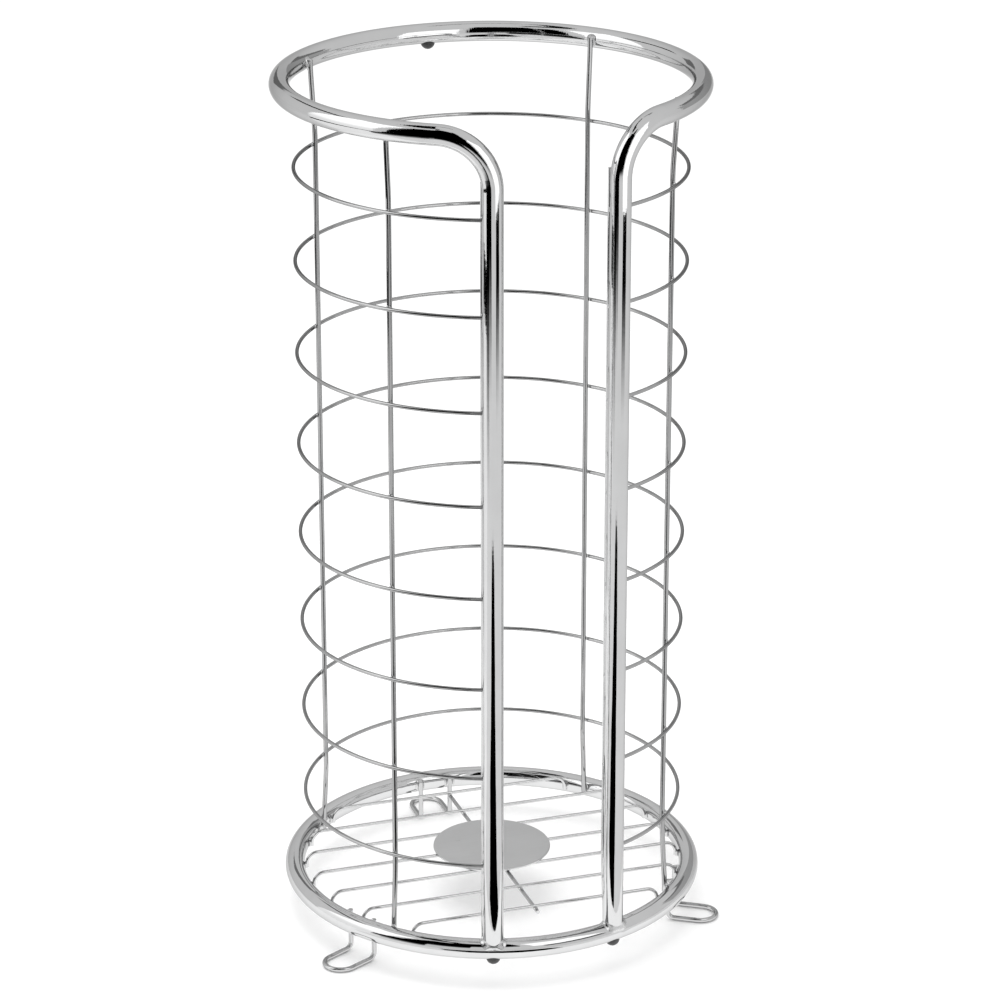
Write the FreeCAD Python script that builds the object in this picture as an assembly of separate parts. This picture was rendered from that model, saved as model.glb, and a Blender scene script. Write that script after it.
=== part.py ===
import FreeCAD
import Part
import math
import os

V = FreeCAD.Vector

# ---------------------------------------------------------------------------
# Toilet roll storage holder: an upright open-fronted canister of chromed tube
# and wire.  Millimetres, +Z up, origin on the floor under the canister's axis,
# the open front faces -Y.  Angles are measured from the front, positive
# towards +X.
# ---------------------------------------------------------------------------

# thick tube
TUBE_R = 3.8            # outer radius of the frame tube and of the base ring
TUBE_WALL = 0.8         # wall of both tubes
RING_R = 75.8           # centre line radius of the top rail and of the base ring
POST_ANG = 17.9         # each front post stands this far from the front
BEND_R = 19.0           # centre line radius of the bend from rail to post
POST_SADDLE_R = 6.2     # the post ends are dished to this radius and sit on top of the base ring

# wires
HOOP_R = 71.3           # centre line radius of the hoops, which touch the posts' inner faces
HOOP_WIRE_R = 0.7
HOOP_COUNT = 8
HOOP_PITCH = 35.1
HOOP_END_ANG = 17.2     # the hoops end just behind the posts
UPRIGHT_R = 0.95        # wire radius of the uprights
UPRIGHT_FRONT_ANG = 49.0
UPRIGHT_BACK_ANG = 130.3
UPRIGHT_POST_LEFT_ANG = -20.7
UPRIGHT_POST_RIGHT_ANG = 18.1
UPRIGHT_POST_LEFT_DROP = 17.8   # top of the wire beside the left post, below the rail
UPRIGHT_POST_RIGHT_DROP = 16.4  # top of the wire beside the right post, below the rail

# base grid
GRID_WIRE_R = 0.65
GRID_COUNT = 7
GRID_PITCH = 17.5
GRID_LIFT = 4.4         # grid wires above the base ring's centre plane
GRID_TIP_DROP = 5.6     # drop of each turned-down end
GRID_BEND_R = 4.2
CROSS_WIRE_R = 0.75
CROSS_BACK_Y = 54.0
CROSS_FRONT_Y = -55.0
DISC_R = 22.5
DISC_T = 0.8

# wire loop feet
FOOT_WIRE_R = 0.9
FOOT_HALF_W = 6.1       # half the width of the loop, on the wire's centre
FOOT_TIP_R = 88.3       # outermost point of the loop, on the wire's centre
FOOT_LEFT_ANG = -61.4
FOOT_RIGHT_ANG = 57.6
FOOT_BACK_ANG = 180.4
FOOT_BEND_R = 2.5
FOOT_PRONG_TOP = 2.0    # top of the prongs above the base ring's centre plane

# plugs in the drain holes of the tubes
PLUG_HEAD_R = 2.7       # domed head
PLUG_HEAD_H = 2.2
PLUG_STEM_R = 2.1
PLUG_STEM_IN = 0.9      # the stem passes this far beyond the tube's wall

# heights
BASE_Z = FOOT_WIRE_R + 13.75        # centre plane of the base ring
RAIL_Z = BASE_Z + 308.0             # centre plane of the top rail
HOOP_Z0 = BASE_Z + 31.4             # lowest hoop
UPRIGHT_RAD = HOOP_R - HOOP_WIRE_R - UPRIGHT_R      # uprights lie inside the hoops
INNER_R = RING_R - TUBE_R                            # inner face of the tube rings

os.makedirs("parts", exist_ok=True)


# ---------------------------------------------------------------------------
# helpers
# ---------------------------------------------------------------------------
def polar(rad, ang, z):
    """Point at a radius and an angle from the front."""
    a = math.radians(ang)
    return V(rad * math.sin(a), -rad * math.cos(a), z)


def section(p, t, ro, ri=0.0):
    """Round or ring-shaped section at p, square to t."""
    outer = Part.Wire(Part.Circle(p, t, ro).toShape())
    if ri > 0.0:
        inner = Part.Wire(Part.Circle(p, t, ri).toShape())
        ring = Part.Face(outer).cut(Part.Face(inner))
        return ring.Faces[0]
    return Part.Face(outer)


def run(p0, p1, ro, ri=0.0):
    """Straight run."""
    d = p1.sub(p0)
    t = V(d)
    t.normalize()
    return section(p0, t, ro, ri).extrude(d)


def arc(p0, t0, p1, ro, ri=0.0):
    """Arc that leaves p0 along t0 and ends at p1."""
    c = p1.sub(p0)
    n = t0.cross(c)
    n.normalize()
    side = n.cross(t0)
    side.normalize()
    rad = c.dot(c) / (2.0 * c.dot(side))
    centre = p0.add(V(side).multiply(rad))
    a = p0.sub(centre)
    b = p1.sub(centre)
    cosang = max(-1.0, min(1.0, a.dot(b) / (a.Length * b.Length)))
    ang = math.degrees(math.acos(cosang))
    if c.dot(t0) < 0.0:
        ang = 360.0 - ang
    return section(p0, t0, ro, ri).revolve(centre, n, ang)


def join(pieces):
    """One solid from runs and arcs that meet face to face."""
    s = pieces[0].multiFuse(pieces[1:]) if len(pieces) > 1 else pieces[0]
    s = s.removeSplitter()
    if len(s.Solids) != 1:
        raise RuntimeError("pieces do not join: %d solids" % len(s.Solids))
    return s.Solids[0]


def bent(points, radii, ro):
    """Wire of straight runs joined by tangent arcs; one radius per inner point."""
    pieces = []
    start = points[0]
    for i in range(1, len(points) - 1):
        p = points[i]
        d0 = p.sub(points[i - 1])
        d1 = points[i + 1].sub(p)
        d0.normalize()
        d1.normalize()
        turn = math.acos(max(-1.0, min(1.0, d0.dot(d1))))
        cut = radii[i - 1] * math.tan(turn / 2.0)
        a = p.sub(V(d0).multiply(cut))
        b = p.add(V(d1).multiply(cut))
        if a.sub(start).Length > 1e-6:
            pieces.append(run(start, a, ro))
        pieces.append(arc(a, d0, b, ro))
        start = b
    pieces.append(run(start, points[-1], ro))
    return join(pieces)


def biarc(p0, t0, p1, t1):
    """Two tangent arcs from p0 along t0 to p1 along t1, as (start, tangent, end)."""
    v = p1.sub(p0)
    t = t0.add(t1)
    k = 2.0 * (1.0 - t0.dot(t1))
    vt = v.dot(t)
    d = (-vt + math.sqrt(vt * vt + k * v.dot(v))) / k
    q0 = p0.add(V(t0).multiply(d))
    q1 = p1.sub(V(t1).multiply(d))
    j = q0.add(q1).multiply(0.5)
    tj = q1.sub(q0)
    tj.normalize()
    return [(p0, t0, j), (j, tj, p1)]


def write(name, shape):
    """Check one solid and write it."""
    if len(shape.Solids) < 1 or not shape.isValid():
        raise RuntimeError("bad solid " + name)
    shape.exportStep("parts/" + name + ".step")
    print("%-28s vol %9.1f mm3  solids %d" % (name, shape.Volume, len(shape.Solids)))


# ---------------------------------------------------------------------------
# top rail and front posts: one tube, bent down at both ends of the open ring
# ---------------------------------------------------------------------------
def bend_point(side, t):
    """Point and direction of travel on the bend, t from 0 at the rail to 1 at the post.

    The bend lies on the ring's own cylinder, as a quarter circle rolled onto it."""
    th = t * math.pi / 2.0
    a = math.radians(POST_ANG) + BEND_R * (1.0 - math.sin(th)) / RING_R
    z = RAIL_Z - BEND_R * (1.0 - math.cos(th))
    p = V(side * RING_R * math.sin(a), -RING_R * math.cos(a), z)
    da = -math.cos(th)
    dz = -math.sin(th)
    d = V(side * math.cos(a) * da, math.sin(a) * da, dz)
    d.normalize()
    return p, d


ro, ri = TUBE_R, TUBE_R - TUBE_WALL
pieces = []
for side in (-1, 1):
    steps = [0.0, 1.0 / 3.0, 2.0 / 3.0, 1.0]
    for a, b in zip(steps[:-1], steps[1:]):
        p0, t0 = bend_point(side, a)
        p1, t1 = bend_point(side, b)
        for s, t, e in biarc(p0, t0, p1, t1):
            pieces.append(arc(s, t, e, ro, ri))
    top, _ = bend_point(side, 1.0)
    pieces.append(run(top, V(top.x, top.y, BASE_Z + 1.0), ro, ri))
rail_ang = POST_ANG + math.degrees(BEND_R / RING_R)
p0 = polar(RING_R, rail_ang, RAIL_Z)
sweep = 360.0 - 2.0 * rail_ang
half = section(p0, V(-math.cos(math.radians(rail_ang)), -math.sin(math.radians(rail_ang)), 0), ro, ri)
pieces.append(half.revolve(V(0, 0, RAIL_Z), V(0, 0, 1), sweep))
frame_tube = join(pieces)
ring_outer = Part.makeTorus(RING_R, TUBE_R, V(0, 0, BASE_Z), V(0, 0, 1))
frame_tube = frame_tube.cut(Part.makeTorus(RING_R, POST_SADDLE_R, V(0, 0, BASE_Z + TUBE_R - POST_SADDLE_R), V(0, 0, 1)))
drain_top = Part.makeCylinder(PLUG_STEM_R, TUBE_R + 2.0, V(0, RING_R, RAIL_Z - TUBE_R - 2.0), V(0, 0, 1))
frame_tube = frame_tube.cut(drain_top).Solids[0]
write("frame_tube", frame_tube)

# ---------------------------------------------------------------------------
# base ring: closed hollow ring with a drain hole under each post
# ---------------------------------------------------------------------------
base_ring = ring_outer.cut(Part.makeTorus(RING_R, TUBE_R - TUBE_WALL, V(0, 0, BASE_Z), V(0, 0, 1)))
for ang in (-POST_ANG, POST_ANG):
    hole = polar(RING_R, ang, BASE_Z - TUBE_R - 2.0)
    base_ring = base_ring.cut(Part.makeCylinder(PLUG_STEM_R, TUBE_R + 2.0, hole, V(0, 0, 1)))
write("base_ring", base_ring.Solids[0])


# ---------------------------------------------------------------------------
# black plugs in the drain holes
# ---------------------------------------------------------------------------
def plug(ang, zc):
    under = zc - TUBE_R
    mid = under - PLUG_HEAD_H + PLUG_HEAD_R
    ball = Part.makeSphere(PLUG_HEAD_R, polar(RING_R, ang, mid), V(0, 0, 1))
    skirt = Part.makeCylinder(PLUG_HEAD_R, 1.2, polar(RING_R, ang, mid), V(0, 0, 1))
    below = Part.makeCylinder(PLUG_HEAD_R + 1.0, PLUG_HEAD_R + 1.0, polar(RING_R, ang, mid - PLUG_HEAD_R - 1.0), V(0, 0, 1))
    head = join([ball.common(below), skirt])
    head = head.cut(Part.makeTorus(RING_R, TUBE_R, V(0, 0, zc), V(0, 0, 1)))
    head = sorted(head.Solids, key=lambda s: s.BoundBox.ZMin)[0]
    stem = Part.makeCylinder(PLUG_STEM_R, PLUG_HEAD_H - 1.4 + TUBE_WALL + PLUG_STEM_IN,
                             polar(RING_R, ang, under - PLUG_HEAD_H + 1.4), V(0, 0, 1))
    return join([head, stem])


write("plug_rail_back", plug(180.0, RAIL_Z))
write("plug_base_left", plug(-POST_ANG, BASE_Z))
write("plug_base_right", plug(POST_ANG, BASE_Z))

# ---------------------------------------------------------------------------
# hoops, lowest first
# ---------------------------------------------------------------------------
for i in range(HOOP_COUNT):
    z = HOOP_Z0 + i * HOOP_PITCH
    a = math.radians(HOOP_END_ANG)
    start = section(polar(HOOP_R, HOOP_END_ANG, z), V(math.cos(a), math.sin(a), 0), HOOP_WIRE_R)
    write("hoop_%d" % (i + 1), start.revolve(V(0, 0, z), V(0, 0, 1), 360.0 - 2.0 * HOOP_END_ANG))


# ---------------------------------------------------------------------------
# upright wires: inside the hoops, leaning out to meet rail and base ring
# ---------------------------------------------------------------------------
CRANK_R = 110.0
LEAN = 26.0             # the lean runs over this height, next to the rail and to the base ring
weld_rad = INNER_R - UPRIGHT_R


def upright(ang):
    pts = [(weld_rad, BASE_Z - 1.0), (weld_rad, BASE_Z + 2.5), (UPRIGHT_RAD, BASE_Z + LEAN),
           (UPRIGHT_RAD, RAIL_Z - LEAN), (weld_rad, RAIL_Z - 2.5), (weld_rad, RAIL_Z + 1.0)]
    return bent([polar(r, ang, z) for r, z in pts], [CRANK_R] * 4, UPRIGHT_R)


def post_upright(ang, drop):
    """Wire close behind a post, welded to the hoops' ends; its top end is free."""
    pts = [(weld_rad, BASE_Z - 1.0), (weld_rad, BASE_Z + 2.5), (UPRIGHT_RAD, BASE_Z + LEAN),
           (UPRIGHT_RAD, RAIL_Z - drop)]
    return bent([polar(r, ang, z) for r, z in pts], [CRANK_R] * 2, UPRIGHT_R)


write("upright_front_left", upright(-UPRIGHT_FRONT_ANG))
write("upright_front_right", upright(UPRIGHT_FRONT_ANG))
write("upright_back_left", upright(-UPRIGHT_BACK_ANG))
write("upright_back_right", upright(UPRIGHT_BACK_ANG))
write("upright_post_left", post_upright(UPRIGHT_POST_LEFT_ANG, UPRIGHT_POST_LEFT_DROP))
write("upright_post_right", post_upright(UPRIGHT_POST_RIGHT_ANG, UPRIGHT_POST_RIGHT_DROP))

# ---------------------------------------------------------------------------
# base grid, front wire first, with turned-down ends welded inside the base ring
# ---------------------------------------------------------------------------
grid_z = BASE_Z + GRID_LIFT
tip_rad = INNER_R - GRID_WIRE_R
for i in range(GRID_COUNT):
    y = (i - (GRID_COUNT - 1) / 2.0) * GRID_PITCH
    xe = math.sqrt(tip_rad ** 2 - y ** 2)
    pts = [V(-xe, y, grid_z - GRID_TIP_DROP), V(-xe, y, grid_z), V(xe, y, grid_z), V(xe, y, grid_z - GRID_TIP_DROP)]
    write("grid_wire_%d" % (i + 1), bent(pts, [GRID_BEND_R] * 2, GRID_WIRE_R))

cross_z = grid_z - GRID_WIRE_R - CROSS_WIRE_R
write("grid_cross_wire", run(V(0, CROSS_FRONT_Y, cross_z), V(0, CROSS_BACK_Y, cross_z), CROSS_WIRE_R))

disc = Part.makeCylinder(DISC_R, DISC_T, V(0, 0, grid_z + GRID_WIRE_R), V(0, 0, 1))
write("centre_disc", disc.makeFillet(0.25, [e for e in disc.Edges if isinstance(e.Curve, Part.Circle)]))


# ---------------------------------------------------------------------------
# feet: floor loops whose prongs stand up inside the base ring
# ---------------------------------------------------------------------------
def foot(ang):
    a = math.radians(ang)
    er = V(math.sin(a), -math.cos(a), 0)
    et = V(math.cos(a), math.sin(a), 0)

    def at(rad, tan, z):
        return V(er).multiply(rad).add(V(et).multiply(tan)).add(V(0, 0, z))

    prong = math.sqrt((INNER_R - FOOT_WIRE_R) ** 2 - FOOT_HALF_W ** 2)
    z0 = FOOT_WIRE_R
    top = BASE_Z + FOOT_PRONG_TOP
    tip = FOOT_TIP_R - FOOT_HALF_W
    b = FOOT_BEND_R
    h = FOOT_HALF_W
    down = V(0, 0, -1)
    out = [run(at(prong, -h, top), at(prong, -h, z0 + b), FOOT_WIRE_R),
           arc(at(prong, -h, z0 + b), down, at(prong + b, -h, z0), FOOT_WIRE_R),
           run(at(prong + b, -h, z0), at(tip, -h, z0), FOOT_WIRE_R),
           arc(at(tip, -h, z0), er, at(FOOT_TIP_R, 0, z0), FOOT_WIRE_R),
           arc(at(FOOT_TIP_R, 0, z0), et, at(tip, h, z0), FOOT_WIRE_R),
           run(at(tip, h, z0), at(prong + b, h, z0), FOOT_WIRE_R),
           arc(at(prong + b, h, z0), V(er).multiply(-1), at(prong, h, z0 + b), FOOT_WIRE_R),
           run(at(prong, h, z0 + b), at(prong, h, top), FOOT_WIRE_R)]
    return join(out)


write("foot_loop_left", foot(FOOT_LEFT_ANG))
write("foot_loop_right", foot(FOOT_RIGHT_ANG))
write("foot_loop_back", foot(FOOT_BACK_ANG))
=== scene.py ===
import math

import bpy
import numpy as np
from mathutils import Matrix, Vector


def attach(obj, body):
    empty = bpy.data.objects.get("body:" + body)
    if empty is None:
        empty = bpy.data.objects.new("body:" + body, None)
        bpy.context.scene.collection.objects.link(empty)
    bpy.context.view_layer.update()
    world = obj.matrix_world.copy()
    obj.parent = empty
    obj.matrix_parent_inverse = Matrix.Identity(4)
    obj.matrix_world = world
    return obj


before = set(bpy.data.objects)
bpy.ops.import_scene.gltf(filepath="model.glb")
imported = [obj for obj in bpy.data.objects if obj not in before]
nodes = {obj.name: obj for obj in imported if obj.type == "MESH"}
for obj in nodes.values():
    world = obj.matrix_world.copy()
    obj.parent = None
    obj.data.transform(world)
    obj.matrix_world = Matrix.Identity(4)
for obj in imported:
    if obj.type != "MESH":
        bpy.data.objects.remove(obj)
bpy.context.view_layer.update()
scene = bpy.context.scene

# The part's driving dimensions, in metres.
TUBE_R = 0.0038
RING_R = 0.0758
POST_ANG = 17.9
HOOP_R = 0.0713
HOOP_WIRE_R = 0.0007
HOOP_END_ANG = 17.2
UPRIGHT_R = 0.00095
UPRIGHT_RAD = HOOP_R - HOOP_WIRE_R - UPRIGHT_R
GRID_WIRE_R = 0.00065
CROSS_WIRE_R = 0.00075
FOOT_WIRE_R = 0.0009
FOOT_HALF_W = 0.0061
BASE_Z = 0.01465
RAIL_Z = BASE_Z + 0.308
GRID_Z = BASE_Z + 0.0044
HOOP_Z = [BASE_Z + 0.0314 + 0.0351 * i for i in range(8)]
INNER_R = RING_R - TUBE_R
UPRIGHTS = [-49.0, 49.0, -130.3, 130.3]
POST_WIRES = [-20.7, 18.1]
FEET = [-61.4, 57.6, 180.4]
DISC_UNDER = GRID_Z + GRID_WIRE_R


def polar(rad, ang, z):
    a = math.radians(ang)
    return np.array([rad * math.sin(a), -rad * math.cos(a), z])


def radial(ang):
    a = math.radians(ang)
    return np.array([math.sin(a), -math.cos(a), 0.0])


def tangent(ang):
    a = math.radians(ang)
    return np.array([math.cos(a), math.sin(a), 0.0])


UP = np.array([0.0, 0.0, 1.0])


# ---------------------------------------------------------------- materials

class Nodes:
    """A material's node tree with short calls for the nodes used here."""

    def __init__(self, name):
        self.mat = bpy.data.materials.new(name)
        self.mat.use_nodes = True
        self.nt = self.mat.node_tree
        self.bsdf = self.nt.nodes["Principled BSDF"]
        self.coord = self.nt.nodes.new("ShaderNodeTexCoord").outputs["Object"]

    def link(self, a, b):
        self.nt.links.new(a, b)

    def stretch(self, scale):
        n = self.nt.nodes.new("ShaderNodeMapping")
        n.inputs["Scale"].default_value = scale
        self.link(self.coord, n.inputs["Vector"])
        return n.outputs["Vector"]

    def round_the_axis(self, along, across):
        """Coordinates that run round the canister's axis: angle, radius and height, in metres along the arc."""
        sep = self.nt.nodes.new("ShaderNodeSeparateXYZ")
        self.link(self.coord, sep.inputs[0])
        ang = self.math("ARCTAN2", sep.outputs["Y"], sep.outputs["X"])
        xx = self.math("MULTIPLY", sep.outputs["X"], sep.outputs["X"])
        yy = self.math("MULTIPLY", sep.outputs["Y"], sep.outputs["Y"])
        rad = self.math("SQRT", self.math("ADD", xx, yy))
        com = self.nt.nodes.new("ShaderNodeCombineXYZ")
        self.link(self.math("MULTIPLY", ang, RING_R * along), com.inputs["X"])
        self.link(self.math("MULTIPLY", rad, across), com.inputs["Y"])
        self.link(self.math("MULTIPLY", sep.outputs["Z"], across), com.inputs["Z"])
        return com.outputs["Vector"]

    def math(self, op, a, b=None):
        n = self.nt.nodes.new("ShaderNodeMath")
        n.operation = op
        for i, v in enumerate((a, b)):
            if v is None:
                continue
            if isinstance(v, (int, float)):
                n.inputs[i].default_value = v
            else:
                self.link(v, n.inputs[i])
        return n.outputs[0]

    def noise(self, vector, scale, detail=3.0, rough=0.5):
        n = self.nt.nodes.new("ShaderNodeTexNoise")
        n.inputs["Scale"].default_value = scale
        n.inputs["Detail"].default_value = detail
        n.inputs["Roughness"].default_value = rough
        self.link(vector, n.inputs["Vector"])
        return n.outputs["Fac"]

    def ramp(self, fac, stops):
        n = self.nt.nodes.new("ShaderNodeValToRGB")
        el = n.color_ramp.elements
        el[0].position, el[0].color = stops[0][0], (*stops[0][1], 1)
        el[1].position, el[1].color = stops[-1][0], (*stops[-1][1], 1)
        for p, c in stops[1:-1]:
            e = el.new(p)
            e.color = (*c, 1)
        self.link(fac, n.inputs["Fac"])
        return n.outputs["Color"]

    def spread(self, value, lo, hi, to_lo, to_hi):
        n = self.nt.nodes.new("ShaderNodeMapRange")
        n.inputs["From Min"].default_value = lo
        n.inputs["From Max"].default_value = hi
        n.inputs["To Min"].default_value = to_lo
        n.inputs["To Max"].default_value = to_hi
        self.link(value, n.inputs["Value"])
        return n.outputs["Result"]

    def bump(self, height, strength, distance, under=None):
        n = self.nt.nodes.new("ShaderNodeBump")
        n.inputs["Strength"].default_value = strength
        n.inputs["Distance"].default_value = distance
        self.link(height, n.inputs["Height"])
        if under is not None:
            self.link(under, n.inputs["Normal"])
        return n.outputs["Normal"]


def grey(v):
    return (v * 0.997, v, v * 1.004)


def chrome(name, lo, hi, rough_lo, rough_hi, lines, peel, direction, edge):
    """Polished chrome plate: cloudy reflectance, haze from handling, lengthwise draw lines and a little orange peel."""
    t = Nodes(name)
    b = t.bsdf
    b.inputs["Metallic"].default_value = 1.0
    b.inputs["Specular Tint"].default_value = (edge, edge, edge, 1)
    if direction == "up":
        along = t.stretch((1.0, 1.0, 0.012))
    elif direction == "round":
        along = t.round_the_axis(0.012, 1.0)
    elif direction == "x":
        along = t.stretch((0.012, 1.0, 1.0))
    else:
        along = t.stretch((1.0, 1.0, 1.0))
    cloud = t.noise(t.coord, 55.0, 5.0, 0.6)
    t.link(t.ramp(cloud, [(0.25, grey(lo)), (0.75, grey(hi))]), b.inputs["Base Color"])
    haze = t.noise(t.coord, 38.0, 6.0, 0.62)
    fine = t.noise(along, 5200.0, 2.0, 0.5)
    mix = t.math("ADD", t.math("MULTIPLY", haze, 0.7), t.math("MULTIPLY", fine, 0.3))
    t.link(t.spread(mix, 0.36, 0.70, rough_lo, rough_hi), b.inputs["Roughness"])
    drawn = t.bump(t.noise(along, 1500.0, 3.0, 0.55), lines, 0.00002)
    skin = t.bump(t.noise(t.coord, 420.0, 2.0, 0.5), peel, 0.00006, drawn)
    t.link(skin, b.inputs["Normal"])
    return t.mat


def weld_chrome(name):
    t = Nodes(name)
    b = t.bsdf
    b.inputs["Metallic"].default_value = 1.0
    cloud = t.noise(t.coord, 700.0, 5.0, 0.6)
    t.link(t.ramp(cloud, [(0.25, grey(0.36)), (0.75, grey(0.54))]), b.inputs["Base Color"])
    t.link(t.spread(t.noise(t.coord, 1600.0, 4.0, 0.6), 0.3, 0.7, 0.08, 0.30), b.inputs["Roughness"])
    t.link(t.bump(t.noise(t.coord, 1900.0, 4.0, 0.6), 0.5, 0.00012), b.inputs["Normal"])
    return t.mat


def satin_disc(name):
    t = Nodes(name)
    b = t.bsdf
    b.inputs["Metallic"].default_value = 1.0
    b.inputs["Specular Tint"].default_value = (0.45, 0.45, 0.45, 1)
    grain = t.stretch((0.01, 1.0, 1.0))
    lines = t.noise(grain, 3600.0, 3.0, 0.5)
    cloud = t.noise(t.coord, 60.0, 5.0, 0.6)
    tone = t.math("ADD", t.math("MULTIPLY", cloud, 0.6), t.math("MULTIPLY", lines, 0.4))
    t.link(t.ramp(tone, [(0.3, grey(0.495)), (0.7, grey(0.555))]), b.inputs["Base Color"])
    t.link(t.spread(tone, 0.3, 0.7, 0.27, 0.33), b.inputs["Roughness"])
    t.link(t.bump(lines, 0.06, 0.000006), b.inputs["Normal"])
    return t.mat


def rubber(name):
    t = Nodes(name)
    b = t.bsdf
    cloud = t.noise(t.coord, 900.0, 5.0, 0.6)
    t.link(t.ramp(cloud, [(0.3, (0.012, 0.012, 0.012)), (0.7, (0.034, 0.034, 0.035))]), b.inputs["Base Color"])
    t.link(t.spread(t.noise(t.coord, 2600.0, 4.0, 0.6), 0.3, 0.7, 0.42, 0.62), b.inputs["Roughness"])
    t.link(t.bump(t.noise(t.coord, 3800.0, 3.0, 0.5), 0.35, 0.00006), b.inputs["Normal"])
    return t.mat


TUBE_UP = chrome("tube_chrome", 0.475, 0.525, 0.025, 0.075, 0.55, 0.10, "up", 0.55)
RING = chrome("ring_chrome", 0.475, 0.525, 0.025, 0.075, 0.45, 0.10, "round", 0.55)
# Painted shade: the hoop and upright copies of the chrome get much darker base tones than the tubes, and the grid copy
# a slightly darker one, so that these wires look as dark as they do in their light.
HOOP = chrome("hoop_chrome", 0.31, 0.37, 0.04, 0.11, 0.30, 0.08, "round", 0.30)
UPRIGHT = chrome("upright_chrome", 0.30, 0.36, 0.04, 0.11, 0.30, 0.08, "up", 0.30)
POST_WIRE = chrome("post_wire_chrome", 0.50, 0.56, 0.04, 0.11, 0.30, 0.08, "up", 0.60)
GRID = chrome("grid_chrome", 0.44, 0.50, 0.04, 0.11, 0.30, 0.08, "x", 0.40)
FOOT = chrome("foot_chrome", 0.38, 0.44, 0.04, 0.11, 0.0, 0.12, "any", 0.30)
WELD = weld_chrome("weld_chrome")
DISC = satin_disc("disc_chrome")
PLUG = rubber("plug_rubber")

for name, ob in nodes.items():
    if name == "frame_tube":
        m = TUBE_UP
    elif name == "base_ring":
        m = RING
    elif name.startswith("hoop"):
        m = HOOP
    elif name.startswith("upright_post"):
        m = POST_WIRE
    elif name.startswith("upright"):
        m = UPRIGHT
    elif name.startswith("grid"):
        m = GRID
    elif name.startswith("foot"):
        m = FOOT
    elif name.startswith("plug"):
        m = PLUG
    else:
        m = DISC
    ob.data.materials.clear()
    ob.data.materials.append(m)


# ---------------------------------------------------------------- welds

def net(field, lo, hi, step):
    """Closed quad mesh on the zero surface of a field, one vertex per cell the surface crosses."""
    n = np.maximum(np.ceil((hi - lo) / step).astype(int) + 1, 4)
    ax = [lo[i] + step * np.arange(n[i]) for i in range(3)]
    grid = np.stack(np.meshgrid(*ax, indexing="ij"), -1)
    v = field(grid.reshape(-1, 3)).reshape(n)
    inside = v < 0
    corner = [(i, j, k) for i in (0, 1) for j in (0, 1) for k in (0, 1)]
    cut = lambda a, c: a[c[0]:n[0] - 1 + c[0], c[1]:n[1] - 1 + c[1], c[2]:n[2] - 1 + c[2]]
    total = np.zeros((n[0] - 1, n[1] - 1, n[2] - 1, 3))
    count = np.zeros((n[0] - 1, n[1] - 1, n[2] - 1))
    for p in corner:
        for axis in range(3):
            if p[axis] == 1:
                continue
            q = tuple(c + (1 if i == axis else 0) for i, c in enumerate(p))
            va, vb = cut(v, p), cut(v, q)
            cross = cut(inside, p) != cut(inside, q)
            t = np.where(cross, va / np.where(cross, va - vb, 1.0), 0.0)
            pos = np.zeros(total.shape)
            for i in range(3):
                pos[..., i] = p[i] + (t if i == axis else 0.0)
            total += pos * cross[..., None]
            count += cross
    live = count > 0
    index = np.full(live.shape, -1)
    index[live] = np.arange(live.sum())
    cells = np.argwhere(live)
    verts = lo + step * (cells + total[live] / count[live][:, None])
    faces = []
    for axis in range(3):
        u, w = [(1, 2), (2, 0), (0, 1)][axis]
        a = [slice(None)] * 3
        b = [slice(None)] * 3
        a[axis], b[axis] = slice(0, n[axis] - 1), slice(1, n[axis])
        for i in (u, w):
            a[i] = b[i] = slice(1, n[i] - 1)
        sa, sb = inside[tuple(a)], inside[tuple(b)]
        at = np.argwhere(sa != sb)
        for i in (u, w):
            at[:, i] += 1
        out = inside[tuple(at.T)]
        du, dw = np.zeros(3, int), np.zeros(3, int)
        du[u], dw[w] = 1, 1
        ring = [at - du - dw, at - dw, at, at - du]
        q = np.stack([index[tuple(r.T)] for r in ring], 1)
        q = np.where(out[:, None], q, q[:, ::-1])
        faces.append(q)
    return verts, np.concatenate(faces)


def snap(field, verts, rounds=3):
    """Moves the vertices onto the zero surface."""
    e = 2e-6
    for _ in range(rounds):
        f = field(verts)
        g = np.stack([(field(verts + d) - field(verts - d)) / (2 * e) for d in np.eye(3) * e], 1)
        m = np.maximum((g * g).sum(1), 0.05)
        verts = verts - (f / m)[:, None] * g * 0.8
    return verts


def rod(p, d, r, lo=None, hi=None):
    """Distance to a round rod through p along d, with ends at lo and hi along it if given."""
    d = d / np.linalg.norm(d)

    def f(x):
        s = x - p
        t = s @ d
        q = np.linalg.norm(s - t[:, None] * d, axis=1) - r
        if lo is not None:
            q = np.maximum(q, lo - t)
        if hi is not None:
            q = np.maximum(q, t - hi)
        return q
    return f


def torus(rad, r, z):
    def f(x):
        return np.hypot(np.hypot(x[:, 0], x[:, 1]) - rad, x[:, 2] - z) - r
    return f


def slab(z0, z1):
    def f(x):
        return np.maximum(z0 - x[:, 2], x[:, 2] - z1)
    return f


def ripple(rng, size, amount):
    """Gentle lumps, so that no two welds are alike."""
    k = rng.normal(size=(7, 3)) * (2.0 / size)
    ph = rng.uniform(0, 2 * math.pi, 7)
    return lambda x: amount * np.sin(x @ k.T + ph).sum(1) / 7.0


def weld_site(a, b, centre, reach, fillet, rng, sink=0.00004, lumps=0.10, squash=(1, 1, 1)):
    """Field of one weld: the smooth union of two shapes, drawn in a little so that only its fillet shows, ended in a ball."""
    lump = ripple(rng, reach, fillet * lumps)
    squash = np.array(squash)

    def f(x):
        da, db = a(x), b(x)
        h = np.maximum(fillet - np.abs(da - db), 0.0) / fillet
        u = np.minimum(da, db) - h * h * fillet * 0.25
        ball = np.linalg.norm((x - centre) / squash, axis=1) - reach
        return np.maximum(u + sink + lump(x) * h, ball)
    return f


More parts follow.
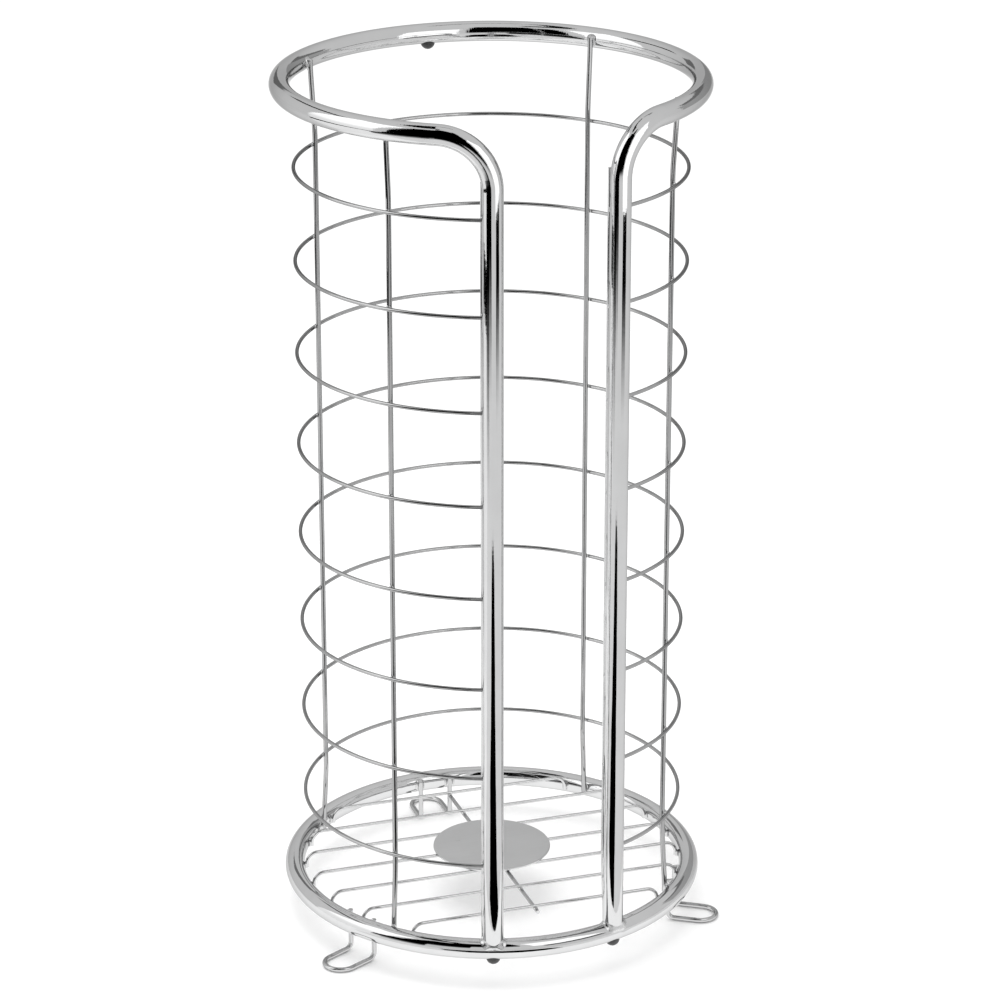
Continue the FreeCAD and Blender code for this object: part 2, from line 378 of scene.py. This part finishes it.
def weld_piece(name, sites, step):
    verts, faces, base = [], [], 0
    for field, centre, half in sites:
        half = np.full(3, half) if np.isscalar(half) else np.asarray(half)
        v, q = net(field, centre - half - 2 * step, centre + half + 2 * step, step)
        v = snap(field, v)
        verts.append(v)
        faces.append(q + base)
        base += len(v)
    verts, faces = np.concatenate(verts), np.concatenate(faces)
    me = bpy.data.meshes.new(name)
    me.from_pydata(verts.tolist(), [], faces.tolist())
    me.validate()
    me.polygons.foreach_set("use_smooth", [True] * len(me.polygons))
    me.materials.append(WELD)
    ob = bpy.data.objects.new(name, me)
    scene.collection.objects.link(ob)
    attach(ob, "root")
    return ob


rng = np.random.default_rng(7)

# hoops on the uprights
sites = []
for z in HOOP_Z:
    ring = torus(HOOP_R, HOOP_WIRE_R, z)
    for ang in UPRIGHTS + POST_WIRES:
        c = polar(HOOP_R - HOOP_WIRE_R, ang, z)
        stick = rod(polar(UPRIGHT_RAD, ang, 0), UP, UPRIGHT_R)
        sites.append((weld_site(ring, stick, c, 0.0019, 0.0010, rng), c, 0.0019))
weld_piece("weld_hoops", sites, 0.00019)

# hoop ends on the posts
sites = []
for z in HOOP_Z:
    for side in (-1, 1):
        ang = side * POST_ANG
        c = polar(INNER_R, side * (HOOP_END_ANG + 1.0), z)
        ring = torus(HOOP_R, HOOP_WIRE_R, z)
        post = rod(polar(RING_R, ang, 0), UP, TUBE_R)
        sites.append((weld_site(ring, post, c, 0.0021, 0.0013, rng), c, 0.0021))
weld_piece("weld_hoop_ends", sites, 0.00022)

# uprights on the base ring and on the rail
sites = []
for ang in UPRIGHTS + POST_WIRES:
    for z in (BASE_Z, RAIL_Z):
        if z == RAIL_Z and ang in POST_WIRES:
            continue
        c = polar(INNER_R, ang, z + (0.0004 if z == BASE_Z else -0.0004))
        ring = torus(RING_R, TUBE_R, z)
        lo, hi = (-0.0011, None) if z == BASE_Z else (None, 0.0011)
        stick = rod(polar(INNER_R - UPRIGHT_R, ang, z), UP, UPRIGHT_R, lo, hi)
        sites.append((weld_site(ring, stick, c, 0.0026, 0.0018, rng), c, 0.0026))
weld_piece("weld_uprights", sites, 0.00024)

# grid ends on the base ring
sites = []
ring = torus(RING_R, TUBE_R, BASE_Z)
for i in range(7):
    y = (i - 3) * 0.0175
    for side in (-1, 1):
        x = side * math.sqrt((INNER_R - GRID_WIRE_R) ** 2 - y * y)
        p = np.array([x, y, BASE_Z])
        c = p * (INNER_R / np.hypot(x, y)) * np.array([1, 1, 0]) + np.array([0, 0, BASE_Z - 0.0001])
        stick = rod(p, UP, GRID_WIRE_R, -0.0013, 0.0004)
        sites.append((weld_site(ring, stick, c, 0.0019, 0.0013, rng), c, 0.0019))
weld_piece("weld_grid_ends", sites, 0.00020)

# cross wire under the grid, and the disc on it
sites = []
for i in range(7):
    y = (i - 3) * 0.0175
    c = np.array([0.0, y, GRID_Z - GRID_WIRE_R])
    a = rod(np.array([0, y, GRID_Z]), np.array([1.0, 0, 0]), GRID_WIRE_R)
    b = rod(np.array([0, 0, GRID_Z - GRID_WIRE_R - CROSS_WIRE_R]), np.array([0, 1.0, 0]), CROSS_WIRE_R)
    sites.append((weld_site(a, b, c, 0.0016, 0.0009, rng), c, 0.0016))
for y, xs in ((-0.0175, (-0.007, 0.007)), (0.0, (-0.014, 0.014)), (0.0175, (-0.007, 0.007))):
    for x in xs:
        c = np.array([x, y, DISC_UNDER])
        a = rod(np.array([0, y, GRID_Z]), np.array([1.0, 0, 0]), GRID_WIRE_R)
        b = slab(DISC_UNDER, DISC_UNDER + 0.0008)
        sites.append((weld_site(a, b, c - np.array([0, 0, 0.0003]), 0.0011, 0.0007, rng, squash=(1.6, 1.0, 0.7)), c - np.array([0, 0, 0.0003]), (0.0018, 0.0011, 0.0009)))
weld_piece("weld_grid", sites, 0.00018)

# foot prongs on the base ring
sites = []
for ang in FEET:
    for side in (-1, 1):
        pr = math.sqrt((INNER_R - FOOT_WIRE_R) ** 2 - FOOT_HALF_W ** 2)
        p = radial(ang) * pr + tangent(ang) * side * FOOT_HALF_W + UP * BASE_Z
        c = p * np.array([1, 1, 0]) * (INNER_R / np.hypot(p[0], p[1])) + UP * BASE_Z
        stick = rod(p, UP, FOOT_WIRE_R, -0.010, 0.0020)
        sites.append((weld_site(ring, stick, c, 0.0027, 0.0020, rng), c, 0.0027))
weld_piece("weld_feet", sites, 0.00024)

# posts on the base ring
sites = []
for side in (-1, 1):
    ang = side * POST_ANG
    post = rod(polar(RING_R, ang, BASE_Z), UP, TUBE_R - 0.00002, 0.0022, None)
    c = polar(RING_R, ang, BASE_Z + 0.0030)
    sites.append((weld_site(ring, post, c, 0.0056, 0.0017, rng, sink=0.00003, lumps=0.10, squash=(1, 1, 0.62)), c, (0.0056, 0.0056, 0.0036)))
weld_piece("weld_posts", sites, 0.00026)


# ---------------------------------------------------------------- studio

def emitter(name, colour, strength):
    m = bpy.data.materials.new(name)
    m.use_nodes = True
    nt = m.node_tree
    nt.nodes.clear()
    out = nt.nodes.new("ShaderNodeOutputMaterial")
    em = nt.nodes.new("ShaderNodeEmission")
    em.inputs["Color"].default_value = (*colour, 1)
    em.inputs["Strength"].default_value = strength
    nt.links.new(em.outputs[0], out.inputs[0])
    return m


def soft_flag(name, level, z0, z1):
    """A flag that fades in from its lower edge, between two heights."""
    t = Nodes(name)
    nt = t.nt
    out = nt.nodes["Material Output"]
    nt.nodes.remove(t.bsdf)
    sep = nt.nodes.new("ShaderNodeSeparateXYZ")
    t.link(t.coord, sep.inputs[0])
    fade = nt.nodes.new("ShaderNodeMapRange")
    fade.interpolation_type = "SMOOTHSTEP"
    fade.inputs["From Min"].default_value = z0
    fade.inputs["From Max"].default_value = z1
    t.link(sep.outputs["Z"], fade.inputs["Value"])
    clear = nt.nodes.new("ShaderNodeBsdfTransparent")
    dark = nt.nodes.new("ShaderNodeEmission")
    dark.inputs["Color"].default_value = (1, 1, 1, 1)
    dark.inputs["Strength"].default_value = level
    mix = nt.nodes.new("ShaderNodeMixShader")
    t.link(fade.outputs["Result"], mix.inputs["Fac"])
    t.link(clear.outputs[0], mix.inputs[1])
    t.link(dark.outputs[0], mix.inputs[2])
    t.link(mix.outputs[0], out.inputs["Surface"])
    return t.mat


def panel(name, low, high, z0, z1):
    """A softbox that is dimmer near the floor."""
    t = Nodes(name)
    nt = t.nt
    out = nt.nodes["Material Output"]
    nt.nodes.remove(t.bsdf)
    sep = nt.nodes.new("ShaderNodeSeparateXYZ")
    t.link(t.coord, sep.inputs[0])
    rise = nt.nodes.new("ShaderNodeMapRange")
    rise.interpolation_type = "SMOOTHSTEP"
    rise.inputs["From Min"].default_value = z0
    rise.inputs["From Max"].default_value = z1
    rise.inputs["To Min"].default_value = low
    rise.inputs["To Max"].default_value = high
    t.link(sep.outputs["Z"], rise.inputs["Value"])
    glow = nt.nodes.new("ShaderNodeEmission")
    glow.inputs["Color"].default_value = (1, 1, 1, 1)
    t.link(rise.outputs["Result"], glow.inputs["Strength"])
    t.link(glow.outputs[0], out.inputs["Surface"])
    return t.mat


def card(name, corners, mat, faces=None):
    """A reflector or a flag: it shows only in reflections."""
    me = bpy.data.meshes.new(name)
    me.from_pydata([tuple(map(float, c)) for c in corners], [], faces or [tuple(range(len(corners)))])
    me.materials.append(mat)
    ob = bpy.data.objects.new(name, me)
    scene.collection.objects.link(ob)
    for ray in ("camera", "diffuse", "transmission", "volume_scatter", "shadow"):
        setattr(ob, "visible_" + ray, False)
    return ob


def arc(name, d, az0, az1, z0, z1, mat, centre=(0.0, 0.0)):
    """A card that stands round the object, from one bearing to another."""
    n = max(2, int(abs(az1 - az0) / 4))
    a = np.linspace(az0, az1, n + 1)
    off = np.array([centre[0], centre[1], 0.0])
    pts = [polar(d, x, z0) + off for x in a] + [polar(d, x, z1) + off for x in a]
    return card(name, pts, mat, [(i, i + 1, n + 2 + i, n + 1 + i) for i in range(n)])


def fan(name, d0, d1, az0, az1, z, mat):
    """A level card: part of a ring."""
    n = max(2, int(abs(az1 - az0) / 4))
    a = np.linspace(az0, az1, n + 1)
    pts = [polar(d0, x, z) for x in a] + [polar(d1, x, z) for x in a]
    return card(name, pts, mat, [(i, i + 1, n + 2 + i, n + 1 + i) for i in range(n)])


world = bpy.data.worlds.new("studio")
scene.world = world
world.use_nodes = True
bg = world.node_tree.nodes["Background"]
bg.inputs["Color"].default_value = (1, 1, 1, 1)
bg.inputs["Strength"].default_value = 1.02

me = bpy.data.meshes.new("floor")
R, n = 4.0, 96
me.from_pydata([(R * math.cos(2 * math.pi * i / n), R * math.sin(2 * math.pi * i / n), -0.0002) for i in range(n)], [], [tuple(range(n))])
floor = bpy.data.objects.new("floor", me)
scene.collection.objects.link(floor)
t = Nodes("floor_paper")
t.link(t.ramp(t.noise(t.coord, 3.0, 3.0), [(0.3, (0.935, 0.935, 0.935)), (0.7, (0.95, 0.95, 0.95))]), t.bsdf.inputs["Base Color"])
t.bsdf.inputs["Roughness"].default_value = 0.6
t.bsdf.inputs["Specular IOR Level"].default_value = 0.0
t.bsdf.inputs["Emission Color"].default_value = (1, 1, 1, 1)
t.bsdf.inputs["Emission Strength"].default_value = 0.07
side = t.nt.nodes.new("ShaderNodeNewGeometry")
clear = t.nt.nodes.new("ShaderNodeBsdfTransparent")
mix = t.nt.nodes.new("ShaderNodeMixShader")
t.link(side.outputs["Backfacing"], mix.inputs["Fac"])
t.link(t.bsdf.outputs[0], mix.inputs[1])
t.link(clear.outputs[0], mix.inputs[2])
t.link(mix.outputs[0], t.nt.nodes["Material Output"].inputs["Surface"])
me.materials.append(t.mat)

key = bpy.data.lights.new("top_light", "AREA")
key.shape = "DISK"
key.size = 0.8
key.energy = 3.2
ko = bpy.data.objects.new("top_light", key)
ko.location = (-0.12, 0.05, 1.0)
ko.rotation_euler = (Vector((0, 0, 0)) - ko.location).to_track_quat("-Z", "Y").to_euler()
ko.visible_glossy = False
scene.collection.objects.link(ko)

CAM_AZ = -18.45
BLACK = emitter("flag_black", (0.0, 0.0, 0.0), 1.0)
SOFT = panel("softbox", 1.5, 2.2, 0.25, 0.70)
SOFT_RIGHT = emitter("softbox_right", (1, 1, 1), 2.2)
LIT_FLOOR = emitter("lit_floor", (1, 1, 1), 1.65)

DIM = emitter("flag_grey", (1, 1, 1), 0.30)

# tall softbox on the left and the paper it lights, with a black panel between it and the camera
arc("softbox_left", 0.98, -120, -77, 0.0, 1.6, SOFT)
fan("floor_softbox", 0.30, 0.97, -124, -74, 0.0006, SOFT)
fan("softbox_foot", 0.80, 0.93, -124, -74, 0.0009, BLACK)
fan("floor_left", 0.0, 0.30, -200, -75, 0.0006, LIT_FLOOR)
fan("floor_near", 0.0, 0.125, -75, 160, 0.0006, LIT_FLOOR)
FLAG_LEFT = soft_flag("flag_left", 0.0, 0.02, 0.14)
arc("flag_left", 0.48, -68, -51, 0.0, 0.95, FLAG_LEFT)
card("flag_left_low", [polar(0.48, -80, 0.0), polar(0.48, -68, 0.0), polar(0.48, -68, 0.32), polar(0.48, -80, 0.17)], FLAG_LEFT)
# in front: black above the camera's side, a black band and a white card on the right of it, a black strip on the floor
arc("flag_front_left", 0.36, -51, -29, 0.10, 0.95, soft_flag("flag_front_left", 0.0, 0.12, 0.20))
arc("flag_front", 0.36, -29, -3, 0.22, 0.95, soft_flag("flag_front", 0.0, 0.24, 0.30))
arc("flag_band", 0.36, 8, 40, 0.10, 0.21, soft_flag("flag_band", 0.0, 0.11, 0.18))
arc("softbox_right", 0.36, 3, 42, 0.21, 0.62, SOFT_RIGHT)
card("flag_strip", [(x, y, 0.0008) for x, y in ((0.018, -0.125), (-0.085, -0.115), (-0.165, -0.185), (-0.235, -0.380), (-0.25, -0.460), (-0.14, -0.510), (-0.06, -0.490), (-0.02, -0.400), (0.014, -0.240))], BLACK)
# behind and above: dark bars, a dark ring in the ceiling
arc("flag_right_low", 1.2, 92, 150, 0.26, 0.70, emitter("flag_pale", (1, 1, 1), 0.60))
arc("flag_back_left", 1.0, -186, -170, 0.48, 0.72, DIM)
card("flag_bar", [polar(1.0, -166, 0.80), polar(1.0, -124, 1.22), polar(1.0, -124, 1.38), polar(1.0, -166, 0.92)], BLACK)
arc("flag_back_right", 1.5, 100, 145, 0.76, 1.02, DIM)
fan("flag_ceiling", 0.46, 0.72, -175, -55, 2.0, BLACK)
fan("flag_ceiling_right", 0.46, 0.60, 115, 180, 2.0, DIM)

# ---------------------------------------------------------------- camera

cam = bpy.data.cameras.new("camera")
cam.sensor_width = 36.0
cam.lens = 3799.0 / 1000.0 * 36.0
cam.clip_start = 0.05
cam.clip_end = 30.0
co = bpy.data.objects.new("camera", cam)
a, e = math.radians(CAM_AZ), math.radians(20.64)
back = Vector((math.sin(a) * math.cos(e), -math.cos(a) * math.cos(e), math.sin(e)))
co.location = Vector((0.00337, 0.0, 0.1620)) + back * 1.417
co.rotation_euler = (-back).to_track_quat("-Z", "Y").to_euler()
scene.collection.objects.link(co)
scene.camera = co

scene.view_settings.view_transform = "Standard"
scene.view_settings.look = "None"
